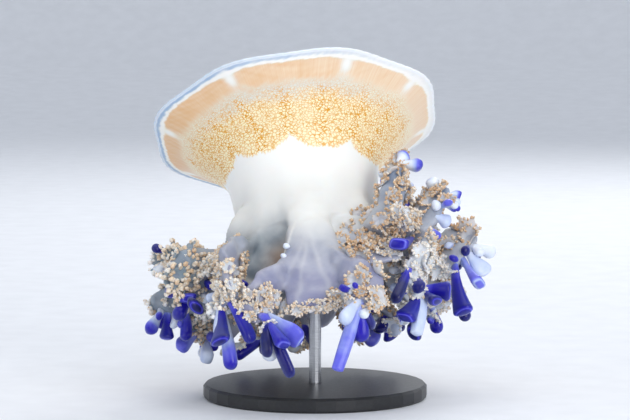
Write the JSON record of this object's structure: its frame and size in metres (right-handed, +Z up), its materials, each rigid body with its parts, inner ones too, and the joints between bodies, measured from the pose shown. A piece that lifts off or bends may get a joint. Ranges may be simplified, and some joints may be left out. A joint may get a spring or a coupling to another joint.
{
  "type": "fried-egg jellyfish on a display stand",
  "caption": "Young fried-egg jellyfish, bell banked back to show its netted underside, thick white stalk and frilled arms with blue clubs, held by a rod on a round base.",
  "frame": {"origin": "on the floor, at the middle of the underside of the stand's round base, under its rod", "axes": "+Z up, -Y to the front, the side that the bell's underside and the camera face, +X to the viewer's right"},
  "size_m": [0.1475, 0.153, 0.1445],
  "materials": {
    "bell": "soft translucent jelly with an orange network over cream",
    "margin": "clear bluish jelly",
    "stalk": "opaque white jelly",
    "arm": "cloudy greyish blue jelly",
    "frill": "tan beads on cloudy lobes",
    "club": "glossy deep blue to white jelly",
    "stand_base": "satin black lacquer",
    "stand_rod": "brushed"
  },
  "bodies": {
    "root": {"stand_base": "stand_base", "stand_rod": "stand_rod", "bell": "bell", "lappets_1": "margin", "lappets_2": "margin", "lappets_3": "margin", "lappets_4": "margin", "lappets_5": "margin", "lappets_6": "margin", "lappets_7": "margin", "lappets_8": "margin", "manubrium": "stalk", "arm_front": "arm", "arm_front_right": "arm", "arm_right": "arm", "arm_back_right": "arm", "arm_back": "arm", "arm_back_left": "arm", "arm_left": "arm", "arm_front_left": "arm", "arm_front_branch_left": "frill", "arm_front_branch_right": "frill", "arm_front_right_branch_left": "frill", "arm_front_right_branch_right": "frill", "arm_right_branch_left": "frill", "arm_right_branch_right": "frill", "arm_back_right_branch_left": "frill", "arm_back_right_branch_right": "frill", "arm_back_branch_left": "frill", "arm_back_branch_right": "frill", "arm_back_left_branch_left": "frill", "arm_back_left_branch_right": "frill", "arm_left_branch_left": "frill", "arm_left_branch_right": "frill", "arm_front_left_branch_left": "frill", "arm_front_left_branch_right": "frill"}
  },
  "joints": []
}
